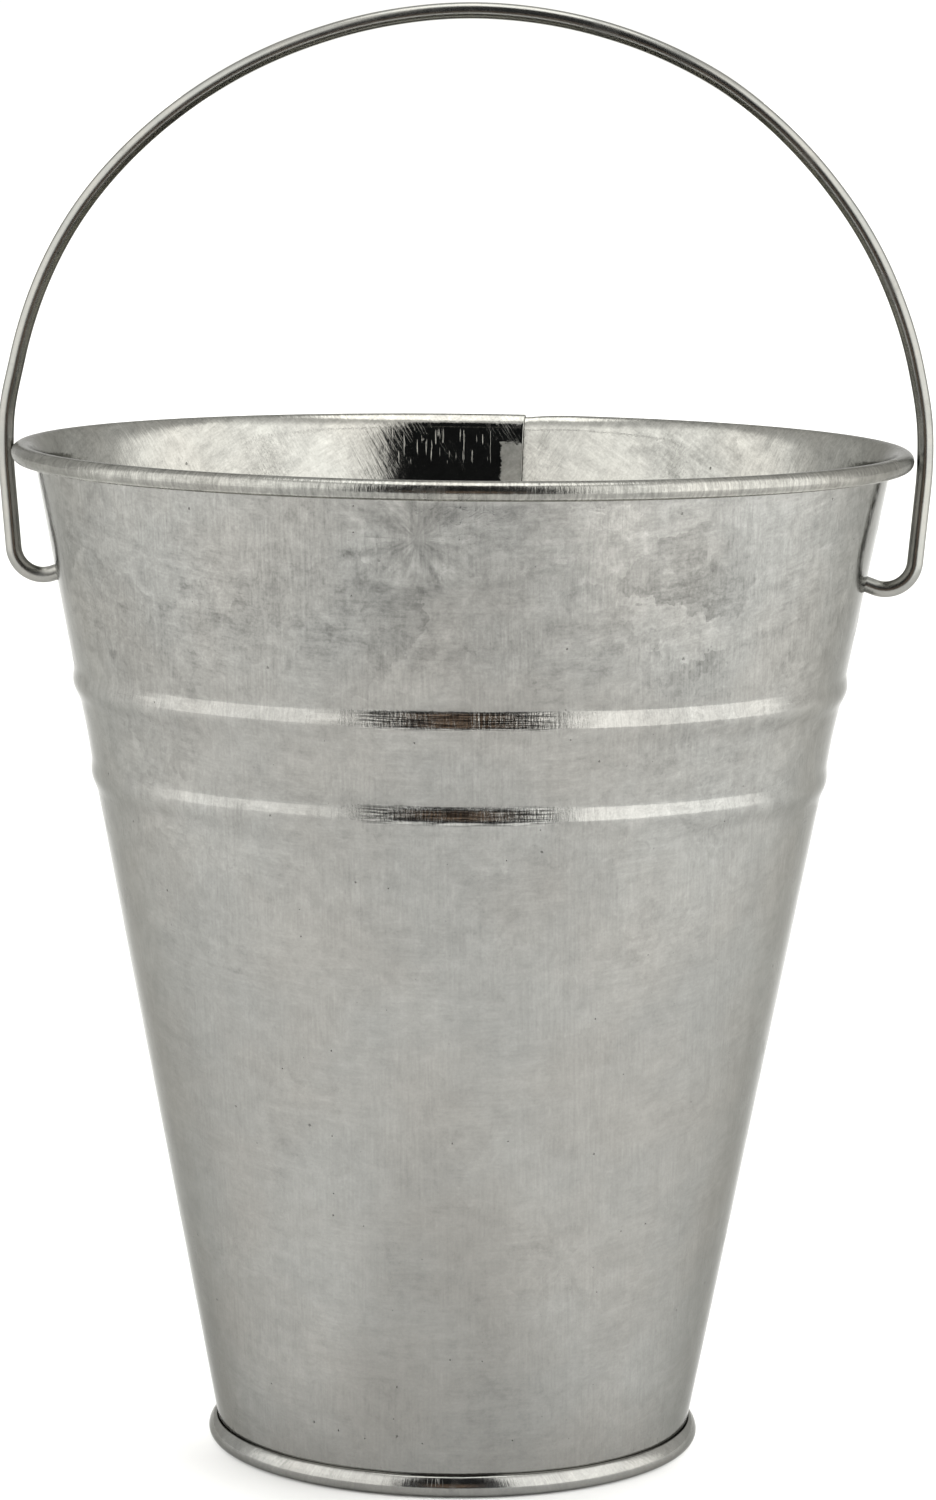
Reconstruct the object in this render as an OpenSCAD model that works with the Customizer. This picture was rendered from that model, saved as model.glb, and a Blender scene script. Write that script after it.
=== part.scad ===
// Small galvanised pail for cut flowers: one rolled sheet wall, a crimped base pan,
// the sealing bead in the base seam, and a wire bail that swings in two punched holes.
// Origin: centre of the pail on the plane it stands on. +Z up, bail pivot along X.

/* [Pail] */
// Height of the pail to the top of its rolled rim
body_h = 146.5; // [130:0.5:170]
// Diameter of the wall cone where it meets the standing plane
wall_foot_d = 68.2; // [60:0.1:76]
// Diameter of the wall cone carried up to the rim's height
wall_top_d = 124.3; // [110:0.1:136]
// Thickness of the galvanised sheet
sheet_t = 0.35; // [0.3:0.01:0.45]

/* [Rolled rim] */
// Outside diameter of the rolled bead of the rim
curl_d = 2.76; // [2.4:0.02:3.4]
// Radius of the flare that carries the wall out into the roll
flare_r = 5.2; // [4:0.1:7]
// Direction of the sheet where the flare becomes the roll, above level
flare_a = 45; // [35:1:60]
// Direction of the sheet at the end of the roll
curl_end_a = -232; // [-236:1:-200]

/* [Swage beads] */
// Distance of the upper bead's middle below the top of the rim
bead1_drop = 34.4; // [30:0.1:38]
// How far the upper bead stands out of the wall
bead1_h = 0.55; // [0.2:0.05:1]
// Distance of the lower bead's middle below the top of the rim
bead2_drop = 47.7; // [46:0.1:56]
// How far the lower bead stands out of the wall
bead2_h = 0.42; // [0.2:0.05:1]
// Width of each bead along the wall
bead_w = 5.4; // [4:0.1:6.5]

/* [Side seam] */
// Direction of the seam's inner edge, counted from +X towards +Y
seam_a = 85; // [60:0.1:120]
// Width of the lap, as an angle
lap_a = 5.7; // [4:0.1:8]
// Width of the joggle that steps the sheet out behind the lap, as an angle
joggle_a = 3; // [2:0.1:5]
// Gap between the two layers of the lap
lap_gap = 0.05; // [0.04:0.01:0.1]
// Width of the continuous weld track in the lap, as an angle
weld_a = 1.4; // [1:0.1:2]

/* [Base pan] */
// How far the crimped foot ring stands out from the wall cone's foot
foot_out = 1.9; // [1.7:0.05:2.3]
// Height of the foot ring's lip
foot_h = 3.2; // [3:0.05:4]
// How far the pan's floor is raised above the standing plane
floor_lift = 2.2; // [1.6:0.1:2.6]
// Radius of the foot ring's lower edge
foot_r = 1.4; // [1:0.1:1.6]

/* [Bail] */
// Diameter of the bail wire
wire_d = 2.4; // [2:0.1:2.8]
// Clearance between the wire and the rim
bail_gap = 0.3; // [0.2:0.05:1]
// How much lower than a half circle the bow of the bail is
bow_drop = 3.9; // [2:0.1:6]
// Distance of the pivot holes below the top of the rim
pivot_drop = 19.2; // [17:0.1:22]
// Diameter of the punched pivot holes
hole_d = 3.5; // [3.4:0.05:4]
// Inward lean of the bail's legs
leg_lean = 5; // [3:0.5:7]
// Bend radius of the hook below each leg, at the wire's middle
hook_r = 4.3; // [4:0.1:5]
// Upward slope of the wire where it passes through the wall
hook_slope = 20; // [12:1:24]
// Bend radius of the retaining end inside the pail, at the wire's middle
tip_r = 2.2; // [1.8:0.1:2.6]
// Straight length of the retaining end
tip_l = 1.6; // [1:0.1:3]

/* [Hidden] */
$fn = 96;
zinc = [0.71, 0.72, 0.70];
zinc_base = [0.66, 0.67, 0.66];
wire_col = [0.60, 0.61, 0.58];
seal_col = [0.82, 0.80, 0.74];

// Arc as the sheet runs round it, turning clockwise: centre, radius, start and end direction of travel.
function bend(c, r, h0, h1, n) =
    [for (i = [0:n]) let (a = 90 + h0 + (h1 - h0) * i / n) [c[0] + r * cos(a), c[1] + r * sin(a)]];
// The same, turning anticlockwise.
function bend_l(c, r, h0, h1, n) =
    [for (i = [0:n]) let (a = h0 - 90 + (h1 - h0) * i / n) [c[0] + r * cos(a), c[1] + r * sin(a)]];

function unit(v) = v / norm(v);
function left_of(v) = [-v[1], v[0]];
// Mitred normal at point i of a path, so that an offset keeps its distance.
function miter(p, i) =
    let (a = unit(p[max(i, 1)] - p[max(i, 1) - 1]),
         j = min(i, len(p) - 2),
         b = unit(p[j + 1] - p[j]),
         s = left_of(a) + left_of(b))
    2 * s / (s * s);
// Section of a sheet that follows a path: thickness t, its middle shifted sideways by s.
function ribbon(p, t, s = 0) = concat(
    [for (i = [0:len(p) - 1]) p[i] + miter(p, i) * (s + t / 2)],
    [for (i = [len(p) - 1:-1:0]) p[i] + miter(p, i) * (s - t / 2)]);

// ---- wall section, middle of the sheet, from the foot flange up to the end of the roll
foot_d = wall_foot_d + 2 * foot_out;
bead1_z = body_h - bead1_drop;
bead2_z = body_h - bead2_drop;
pivot_h = body_h - pivot_drop;
taper = (wall_top_d - wall_foot_d) / 2 / body_h;
wall_a = atan(1 / taper);
half_t = sheet_t / 2 / sin(wall_a);
function wall_r(z) = wall_foot_d / 2 + taper * z;
function bump(z, zc, h) = abs(z - zc) < bead_w / 2 ? h * (1 + cos(360 * (z - zc) / bead_w)) / 2 : 0;
function wall_p(z) = [wall_r(z) - half_t + bump(z, bead1_z, bead1_h) + bump(z, bead2_z, bead2_h), z];
function bead_pts(zc) = [for (i = [-5:5]) wall_p(zc + i * bead_w / 10)];

curl_r = (curl_d - sheet_t) / 2;
curl_z = body_h - curl_d / 2;
// Where the flare leaves the wall, and the middle of the roll.
flare_z = curl_z + curl_r * cos(flare_a) - flare_r * (cos(flare_a) - cos(wall_a));
flare_c = [wall_r(flare_z) - half_t + flare_r * sin(wall_a), flare_z - flare_r * cos(wall_a)];
curl_c = [flare_c[0] - (flare_r - curl_r) * sin(flare_a), curl_z];
rim_r = curl_c[0] + curl_d / 2;

flange_z = sheet_t * 1.5 + 0.06;
flange_b = 1.5 * sheet_t + lap_gap + 0.075;
flange_c = [wall_r(flange_z + flange_b) - half_t + flange_b, flange_z + flange_b];
function sheet_path(over) = concat(
    [[flange_c[0] + 0.11 + over / 2, flange_z]],
    bend(flange_c, flange_b, 180, wall_a, 5),
    [wall_p(20), wall_p(bead2_z - bead_w)],
    bead_pts(bead2_z), bead_pts(bead1_z),
    [wall_p(bead1_z + bead_w)],
    bend(flare_c, flare_r, wall_a, flare_a, 4),
    [for (i = [1:14]) bend(curl_c, curl_r, flare_a, curl_end_a - 60 * over, 14)[i]]);
wall_path = sheet_path(0);
// The straight part alone, for the weld track.
weld_path = concat([wall_p(6)], bead_pts(bead2_z), bead_pts(bead1_z), [wall_p(flare_z - 2)]);

module sector(a0, a1, pts) rotate([0, 0, a0]) rotate_extrude(angle = a1 - a0) polygon(pts);

// Rolled wall: full turn of sheet, joggle, outer layer of the lap, weld track, two pivot holes.
module bucket_body() {
    step = sheet_t + lap_gap;
    skin = 0.01; // the joggle stands this much proud of the sheets it joins
    color(zinc) difference() {
        union() {
            sector(seam_a, seam_a + 360 - joggle_a + 0.4, ribbon(wall_path, sheet_t));
            sector(seam_a - joggle_a, seam_a - 0.4, ribbon(sheet_path(skin), sheet_t + step + 2 * skin, -step / 2));
            sector(seam_a - 0.8, seam_a + lap_a, ribbon(wall_path, sheet_t, -step));
            sector(seam_a + lap_a * 0.4, seam_a + lap_a * 0.4 + weld_a,
                   ribbon(weld_path, sheet_t + step - 0.2, -step / 2));
        }
        translate([0, 0, pivot_h]) rotate([0, 90, 0]) cylinder(d = hole_d, h = 2 * rim_r + 10, center = true);
    }
}

// ---- base pan section, middle of the sheet, from the axis out to the lip of the foot ring
pan_r1 = 0.9;
pan_side = wall_foot_d / 2 - 0.7;
ring_r = foot_r - sheet_t / 2;
ring_c = [foot_d / 2 - foot_r, foot_r];
lean_in = 114;
pan_path = concat(
    [[0, floor_lift + sheet_t / 2]],
    bend([pan_side - pan_r1, floor_lift + sheet_t / 2 - pan_r1], pan_r1, 0, -90, 5),
    bend_l([pan_side + 0.45, sheet_t / 2 + 0.45], 0.45, -90, 0, 4),
    bend_l(ring_c, ring_r, 0, lean_in, 6),
    [let (q = bend_l(ring_c, ring_r, 0, lean_in, 6)[6]) q + (foot_h - q[1]) * [1 / tan(lean_in), 1]]);

module base_pan() color(zinc_base) rotate_extrude() polygon(ribbon(pan_path, sheet_t));

// Sealing bead that lines the inside of the foot ring, outside the wall's flange.
seal_t = 0.3;
module base_seam_seal() color(seal_col) rotate_extrude()
    polygon(ribbon(bend_l(ring_c, ring_r - (sheet_t + seal_t) / 2 + 0.02, 30, 100, 5), seal_t));

// ---- bail wire centreline, in the X-Z plane
bow_a = rim_r + bail_gap + wire_d / 2;
side_r = bow_a - 1.8 * bow_drop;
side_c = [1.8 * bow_drop, body_h - 0.5];
top_c = [0, side_c[1] - 1.625 * bow_drop];
join_a = atan(1.625 / 1.8);
top_r = side_r + norm([1.8, 1.625]) * bow_drop;
leg_top = side_c + side_r * [cos(leg_lean), -sin(leg_lean)];
pivot = [wall_r(pivot_h) - half_t, pivot_h];
slope_n = [sin(hook_slope), cos(hook_slope)];
leg_in = hook_r * [-cos(leg_lean), sin(leg_lean)];
leg_l = ((leg_top + leg_in - pivot) * slope_n - hook_r) / ([sin(leg_lean), cos(leg_lean)] * slope_n);
hook_c = leg_top - leg_l * [sin(leg_lean), cos(leg_lean)] + leg_in;
hook_end = hook_c - hook_r * slope_n;
pin_in = pivot + 2.56 / cos(hook_slope) * [-cos(hook_slope), sin(hook_slope)];
tip_c = pin_in + tip_r * slope_n;

// A bend draws the wire slightly thinner than the straights it runs into.
lap = 0.2;
// Wire bent along an arc about c from angle a0 to a1, in the X-Z plane.
module wire_arc(c, r, a0, a1, thin = 0.05)
    translate([c[0], 0, c[1]]) rotate([90, 0, 0]) rotate([0, 0, a0])
        rotate_extrude(angle = a1 - a0) translate([r, 0]) circle(d = wire_d - thin, $fn = 32);
// Straight wire between two points in the X-Z plane, run on by l0 and l1 at its ends.
module wire_bar(p, q, l0 = lap, l1 = lap)
    translate([p[0], 0, p[1]]) rotate([0, atan2(q[0] - p[0], q[1] - p[1]), 0])
        translate([0, 0, -l0]) cylinder(d = wire_d, h = norm(q - p) + l0 + l1, $fn = 32);

module bail_side() {
    wire_arc(side_c, side_r, -leg_lean, join_a);
    wire_bar(leg_top, leg_top - leg_l * [sin(leg_lean), cos(leg_lean)]);
    wire_arc(hook_c, hook_r, -90 - hook_slope, -leg_lean);
    wire_bar(hook_end, pin_in);
    wire_arc(tip_c, tip_r, 180, 270 - hook_slope);
    wire_bar(tip_c + [-tip_r, 0], tip_c + [-tip_r, tip_l], lap, 0);
}

// One length of wire: bow, two legs, two hooks through the wall, two retaining ends.
module bail_handle() color(wire_col) union() {
    wire_arc(top_c, top_r, join_a - 0.25, 180.25 - join_a, 0);
    bail_side();
    mirror([1, 0, 0]) bail_side();
}

bucket_body();
base_pan();
base_seam_seal();
bail_handle();
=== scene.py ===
import bpy, math
import numpy as np
from mathutils import Vector, Matrix


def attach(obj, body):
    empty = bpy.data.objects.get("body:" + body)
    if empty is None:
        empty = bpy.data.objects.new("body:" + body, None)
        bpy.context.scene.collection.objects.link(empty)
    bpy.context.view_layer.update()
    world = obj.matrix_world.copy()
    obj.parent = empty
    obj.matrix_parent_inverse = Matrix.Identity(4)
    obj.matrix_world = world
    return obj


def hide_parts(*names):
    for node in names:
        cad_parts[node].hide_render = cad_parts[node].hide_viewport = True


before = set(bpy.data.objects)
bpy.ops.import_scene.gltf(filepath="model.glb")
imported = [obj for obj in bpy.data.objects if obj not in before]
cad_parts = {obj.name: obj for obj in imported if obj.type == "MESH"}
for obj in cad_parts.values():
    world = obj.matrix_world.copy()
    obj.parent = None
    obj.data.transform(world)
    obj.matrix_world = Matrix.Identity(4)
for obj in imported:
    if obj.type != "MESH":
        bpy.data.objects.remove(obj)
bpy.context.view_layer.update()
scene = bpy.context.scene
MM = 0.001

# ---------------------------------------------------------------- camera
TURN = 0.066
yaw, pitch, roll = 0.0016, 0.1345, -0.0109
fwd = Vector((math.sin(yaw) * math.cos(pitch), math.cos(yaw) * math.cos(pitch), -math.sin(pitch)))
right = Vector((math.cos(yaw), -math.sin(yaw), 0))
down = fwd.cross(right)
r2 = right * math.cos(roll) + down * math.sin(roll)
d2 = -right * math.sin(roll) + down * math.cos(roll)
cam_data = bpy.data.cameras.new("camera")
cam = bpy.data.objects.new("camera", cam_data)
scene.collection.objects.link(cam)
basis = Matrix((r2, -d2, -fwd)).transposed().to_4x4()
cam.matrix_world = Matrix.Rotation(TURN, 4, "Z") @ Matrix.Translation((0, -0.74810, 0.20322)) @ basis
cam_data.sensor_width = 36
cam_data.lens = 5188.9 / 1500 * 36
cam_data.clip_start = 0.01
cam_data.clip_end = 60
scene.camera = cam
scene.view_settings.view_transform = "Standard"
scene.view_settings.look = "None"
scene.view_settings.exposure = 0
scene.view_settings.gamma = 1

# ---------------------------------------------------------------- dimensions, millimetres, as in the frame
T = 0.35
BODY_H, FOOT_D, TOP_D = 146.5, 68.2, 124.3
CURL_D, FLARE_R, FLARE_A, CURL_END = 2.76, 5.2, 45.0, -232.0
BEADS = ((BODY_H - 34.4, 0.55), (BODY_H - 47.7, 0.42))
BEAD_W = 5.4
SEAM_A, LAP_A, LAP_GAP = 85.0, 5.7, 0.05
PIVOT_Z, HOLE_R = BODY_H - 19.2, 1.75
TAPER = (TOP_D - FOOT_D) / 2 / BODY_H
WALL_A = math.degrees(math.atan(1 / TAPER))
HALF_T = T / 2 / math.sin(math.radians(WALL_A))
CONE_SIN = TAPER / math.hypot(1, TAPER)


def dcos(a):
    return math.cos(math.radians(a))


def dsin(a):
    return math.sin(math.radians(a))


def wall_r(z):
    return FOOT_D / 2 + TAPER * z


def bend(c, r, h0, h1, n):
    return [(c[0] + r * dcos(90 + h0 + (h1 - h0) * i / n), c[1] + r * dsin(90 + h0 + (h1 - h0) * i / n)) for i in range(n + 1)]


def bend_l(c, r, h0, h1, n):
    return [(c[0] + r * dcos(h0 - 90 + (h1 - h0) * i / n), c[1] + r * dsin(h0 - 90 + (h1 - h0) * i / n)) for i in range(n + 1)]


def swell(z):
    """Beads stand out of the cone, and the strip between them is drawn in a little."""
    out = 0.0
    for zc, h in BEADS:
        d = abs(z - zc)
        if d < BEAD_W / 2:
            out += h * (1 + math.cos(2 * math.pi * d / BEAD_W)) / 2
    lo, hi = BEADS[1][0] + BEAD_W / 2 - 1.2, BEADS[0][0] - BEAD_W / 2 + 1.2
    if lo < z < hi:
        out -= 0.10 * math.sin(math.pi * (z - lo) / (hi - lo)) ** 2
    return out


def wall_p(z):
    return (wall_r(z) - HALF_T + swell(z), z)


# ---------------------------------------------------------------- mesh helpers
def mesh_piece(name, verts, faces, uvs, mats, mat_index, smooth=True, sharp=35):
    """verts in mm; uvs: {layer: per-vertex list}; one object, smooth with sharp edges kept."""
    me = bpy.data.meshes.new(name)
    me.from_pydata([tuple(v) for v in (np.asarray(verts, float) * MM)], [], [tuple(int(i) for i in f) for f in faces])
    for layer, data in uvs.items():
        uv = me.uv_layers.new(name=layer)
        loops = np.zeros(len(me.loops), np.int32)
        me.loops.foreach_get("vertex_index", loops)
        uv.data.foreach_set("uv", np.asarray(data, np.float32)[loops].ravel())
    for m in mats:
        me.materials.append(m)
    me.polygons.foreach_set("material_index", np.asarray(mat_index, np.int32))
    me.validate()
    me.polygons.foreach_set("use_smooth", [smooth] * len(me.polygons))
    ob = bpy.data.objects.new(name, me)
    scene.collection.objects.link(ob)
    me.set_sharp_from_angle(angle=math.radians(sharp))
    return ob


def along(path):
    p = np.array(path, float)
    d = np.hypot(*np.diff(p, axis=0).T)
    keep = np.concatenate([[True], d > 1e-6])
    p = p[keep]
    s = np.concatenate([[0], np.cumsum(np.hypot(*np.diff(p, axis=0).T))])
    t = np.gradient(p, s, axis=0)
    t /= np.linalg.norm(t, axis=1)[:, None]
    n = np.stack([-t[:, 1], t[:, 0]], 1)  # left of travel
    return p, s, n


# ---------------------------------------------------------------- node helpers
def add(t, kind, ins=None, **props):
    n = t.nodes.new("ShaderNode" + kind)
    for k, v in props.items():
        setattr(n, k, v)
    for k, v in (ins or {}).items():
        if isinstance(v, bpy.types.NodeSocket):
            t.links.new(v, n.inputs[k])
        else:
            n.inputs[k].default_value = v
    return n


def math_n(t, op, a, b=0.0, c=0.0, clamp=False):
    return add(t, "Math", {0: a, 1: b, 2: c}, operation=op, use_clamp=clamp).outputs[0]


def ramp(t, x, lo, hi, smooth=True):
    """0 below lo, 1 above hi."""
    return add(t, "MapRange", {"Value": x, "From Min": lo, "From Max": hi, "To Min": 0.0, "To Max": 1.0},
               interpolation_type="SMOOTHSTEP" if smooth else "LINEAR").outputs[0]


def vscale(t, v, xyz):
    return add(t, "VectorMath", {0: v, 1: xyz}, operation="MULTIPLY").outputs[0]


def noise(t, v, scale, detail=2.0, rough=0.5, distort=0.0, dims="2D", out=0):
    return add(t, "TexNoise", {"Vector": v, "Scale": scale, "Detail": detail, "Roughness": rough, "Distortion": distort},
               noise_dimensions=dims).outputs[out]


def uv_mm(t, layer):
    u = add(t, "UVMap", uv_map=layer).outputs[0]
    return add(t, "VectorMath", {0: u, "Scale": 1000.0}, operation="SCALE").outputs[0]


def shift(t, v, xyz):
    return add(t, "VectorMath", {0: v, 1: xyz}, operation="ADD").outputs[0]


def galvanised(name, tone, rough, seed, spangle=1.0, streak=1.0, hair=1.0, leather=1.0, bright_at=None, puckers=(), marks=None, inner=False, painted_deep_fill=None, roll_from=None, warm=(1.005, 1.0, 0.965)):
    """Zinc coated sheet: crystal spangle, rolling streaks, hairline scratches, cloudy oxide and small pits.
    It works in millimetres of the flat blank, so the grain runs as it does on the rolled sheet."""
    m = bpy.data.materials.new(name)
    m.use_nodes = True
    t = m.node_tree
    t.nodes.clear()
    out = add(t, "OutputMaterial")
    bsdf = add(t, "BsdfPrincipled", {"Metallic": 1.0, "Specular Tint": (0.50, 0.50, 0.49, 1)})
    t.links.new(bsdf.outputs[0], out.inputs[0])
    Pu = uv_mm(t, "flat")
    P = shift(t, Pu, (seed * 37.3, seed * 11.9, 0))
    # crystals, about 9 mm, with broken outlines
    wob = add(t, "TexNoise", {"Vector": P, "Scale": 0.35, "Detail": 3.0, "Roughness": 0.6}, noise_dimensions="2D").outputs["Color"]
    wobv = add(t, "VectorMath", {0: wob, 1: (0.5, 0.5, 0.5)}, operation="SUBTRACT").outputs[0]
    Pj = add(t, "VectorMath", {0: wobv, 1: (4.5, 4.5, 0), 2: P}, operation="MULTIPLY_ADD").outputs[0]
    vor = add(t, "TexVoronoi", {"Vector": Pj, "Scale": 0.082, "Randomness": 1.0}, voronoi_dimensions="2D", feature="F1")
    col = add(t, "SeparateColor", {0: vor.outputs["Color"]})
    # feathered growth, running out from the middle of each crystal
    cen = add(t, "VectorMath", {0: vor.outputs["Position"], "Scale": 1.0}, operation="SCALE").outputs[0]
    dv = add(t, "SeparateXYZ", {0: add(t, "VectorMath", {0: Pj, 1: cen}, operation="SUBTRACT").outputs[0]})
    ang = math_n(t, "ARCTAN2", dv.outputs[1], dv.outputs[0])
    rad = math_n(t, "POWER", math_n(t, "ADD", math_n(t, "MULTIPLY", dv.outputs[0], dv.outputs[0]), math_n(t, "MULTIPLY", dv.outputs[1], dv.outputs[1])), 0.5)
    fv = add(t, "CombineXYZ", {0: math_n(t, "MULTIPLY", ang, 3.4), 1: math_n(t, "MULTIPLY", rad, 0.28), 2: math_n(t, "MULTIPLY", col.outputs[1], 40.0)}).outputs[0]
    fe = noise(t, fv, 1.0, 4.0, 0.65, 0.5, dims="3D")
    patch = ramp(t, noise(t, shift(t, P, (91, 17, 0)), 0.022, 1.0), 0.46, 0.60)
    if bright_at is not None:  # a place where the crystals show most
        bd = add(t, "VectorMath", {0: Pu, 1: (*bright_at, 0)}, operation="DISTANCE").outputs["Value"]
        patch = math_n(t, "MAXIMUM", patch, math_n(t, "SUBTRACT", 1.0, ramp(t, bd, 12.0, 30.0)))
    on = math_n(t, "MULTIPLY", ramp(t, col.outputs[2], 0.25, 0.6), patch)
    star = None
    if bright_at is not None:  # one large crystal, grown like a star
        sv = add(t, "SeparateXYZ", {0: add(t, "VectorMath", {0: Pu, 1: (*bright_at, 0)}, operation="SUBTRACT").outputs[0]})
        s_ang = math_n(t, "ARCTAN2", sv.outputs[1], sv.outputs[0])
        s_rad = add(t, "VectorMath", {0: Pu, 1: (*bright_at, 0)}, operation="DISTANCE").outputs["Value"]
        sn = noise(t, add(t, "CombineXYZ", {0: math_n(t, "MULTIPLY", s_ang, 3.0), 1: math_n(t, "MULTIPLY", s_rad, 0.20), 2: 7.7}).outputs[0], 1.0, 4.0, 0.6, 0.3, dims="3D")
        wide = noise(t, add(t, "CombineXYZ", {0: math_n(t, "MULTIPLY", s_ang, 1.3), 1: 0.0, 2: 3.1}).outputs[0], 1.0, 1.0, 0.5, dims="3D")
        s_in = math_n(t, "SUBTRACT", 1.0, ramp(t, math_n(t, "SUBTRACT", s_rad, math_n(t, "MULTIPLY", math_n(t, "SUBTRACT", wide, 0.5), 16.0)), 7.0, 11.0))
        s_in = math_n(t, "MULTIPLY", s_in, ramp(t, s_rad, 0.4, 1.8))
        star = math_n(t, "MULTIPLY", math_n(t, "SUBTRACT", sn, 0.48), math_n(t, "MULTIPLY", s_in, 1.05))
    # cloud, mottle, grain
    mott = noise(t, P, 0.055, 4.0, 0.55)
    cloud = noise(t, shift(t, P, (5, 71, 0)), 0.42, 4.0, 0.62, 0.4)
    grain = noise(t, shift(t, P, (33, 3, 0)), 2.3, 3.0, 0.7)
    st = noise(t, vscale(t, P, (2.7, 0.11, 1)), 1.0, 2.0, 0.6, 0.15)
    st2 = noise(t, vscale(t, P, (0.9, 0.035, 1)), 1.0, 2.0, 0.5, 0.1)
    cross = noise(t, vscale(t, P, (0.06, 0.8, 1)), 1.0, 3.0, 0.55, 0.2)
    # hairlines along the grain
    hn = noise(t, vscale(t, shift(t, P, (11, 0, 0)), (1.35, 0.05, 1)), 1.0, 3.0, 0.55, 0.12)
    hair_n = math_n(t, "SUBTRACT", 1.0, ramp(t, math_n(t, "ABSOLUTE", math_n(t, "SUBTRACT", hn, 0.5)), 0.0, 0.018))
    gate = ramp(t, noise(t, shift(t, P, (3, 57, 0)), 0.16, 2.0), 0.50, 0.66)
    hair_l = math_n(t, "MULTIPLY", hair_n, gate)
    # pits
    Pd = add(t, "VectorMath", {0: wobv, 1: (0.35, 0.35, 0), 2: P}, operation="MULTIPLY_ADD").outputs[0]
    pv = add(t, "TexVoronoi", {"Vector": Pd, "Scale": 0.24, "Randomness": 1.0}, voronoi_dimensions="2D", feature="F1")
    pc = add(t, "SeparateColor", {0: pv.outputs["Color"]})
    size = math_n(t, "MULTIPLY_ADD", math_n(t, "POWER", pc.outputs[1], 3.0), 0.045, 0.013)
    dot = ramp(t, math_n(t, "SUBTRACT", size, math_n(t, "ADD", pv.outputs["Distance"], math_n(t, "MULTIPLY", math_n(t, "SUBTRACT", grain, 0.5), 0.05))), 0.0, 0.015)
    dot = math_n(t, "MULTIPLY", dot, ramp(t, pc.outputs[0], 0.78, 0.80))
    # smudges
    sm = ramp(t, noise(t, shift(t, Pj, (41, 29, 0)), 0.13, 3.0, 0.6), 0.63, 0.72)

    def c(x, k):  # centred and scaled
        return math_n(t, "MULTIPLY", math_n(t, "SUBTRACT", x, 0.5), k)

    # short strokes along and across the grain
    dash = noise(t, vscale(t, shift(t, P, (61, 8, 0)), (2.4, 0.42, 1)), 1.0, 3.0, 0.65, 0.3)
    dash2 = noise(t, vscale(t, shift(t, P, (15, 44, 0)), (0.42, 2.2, 1)), 1.0, 3.0, 0.65, 0.3)
    cloud2 = noise(t, vscale(t, shift(t, Pj, (19, 83, 0)), (0.13, 0.22, 1)), 1.0, 6.0, 0.68, 0.5)
    val = math_n(t, "ADD", c(mott, 0.12), c(cloud, 0.34))
    val = math_n(t, "ADD", val, c(cloud2, 0.29))
    val = math_n(t, "ADD", val, c(grain, 0.26))
    way = ramp(t, noise(t, shift(t, P, (47, 66, 0)), 0.075, 3.0, 0.6), 0.42, 0.58)
    back = math_n(t, "SUBTRACT", 1.0, way)
    val = math_n(t, "ADD", val, math_n(t, "MULTIPLY", way, math_n(t, "ADD", c(st, 0.20 * streak), c(dash, 0.24))))
    val = math_n(t, "ADD", val, c(st2, 0.10 * streak))
    val = math_n(t, "ADD", val, math_n(t, "MULTIPLY", back, math_n(t, "ADD", c(cross, 0.22), c(dash2, 0.24))))
    sp = math_n(t, "ADD", c(col.outputs[0], 0.06 * spangle), math_n(t, "MULTIPLY", c(fe, 0.48 * spangle), on))
    sp = math_n(t, "ADD", sp, math_n(t, "MULTIPLY", c(col.outputs[0], 0.10 * spangle), on))
    val = math_n(t, "ADD", val, sp)
    if star is not None:
        val = math_n(t, "ADD", val, star)
    val = math_n(t, "SUBTRACT", val, math_n(t, "MULTIPLY", sm, 0.06))
    # the upper half is the more weathered one
    height = add(t, "SeparateXYZ", {0: uv_mm(t, "wrap")}).outputs[1]
    worn = math_n(t, "MULTIPLY_ADD", ramp(t, height, 60.0, 112.0), 0.35, 0.80)
    worn = math_n(t, "MULTIPLY_ADD", ramp(t, height, 114.0, 130.0), 0.55, worn)
    lum = math_n(t, "MULTIPLY_ADD", math_n(t, "MULTIPLY", val, worn), tone, tone)
    lum = math_n(t, "MULTIPLY", lum, math_n(t, "MULTIPLY_ADD", dot, -0.45, 1.0))
    if marks:
        lum, extra_rough = marks(t, lum)
    else:
        extra_rough = None
    if painted_deep_fill is not None:
        # painted fill light: deep inside, away from the open air, the colour is painted brighter to stand in for light
        # that hardly reaches there; the coat there is also made satin (rougher)
        deep_fill_mask = math_n(t, "SUBTRACT", 1.0, ramp(t, height, painted_deep_fill[0], painted_deep_fill[1]))
        lum = math_n(t, "MULTIPLY", lum, math_n(t, "MULTIPLY_ADD", deep_fill_mask, painted_deep_fill[2], 1.0))
        dr = math_n(t, "MULTIPLY", deep_fill_mask, 0.16)
        extra_rough = dr if extra_rough is None else math_n(t, "ADD", extra_rough, dr)
    if puckers:
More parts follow.
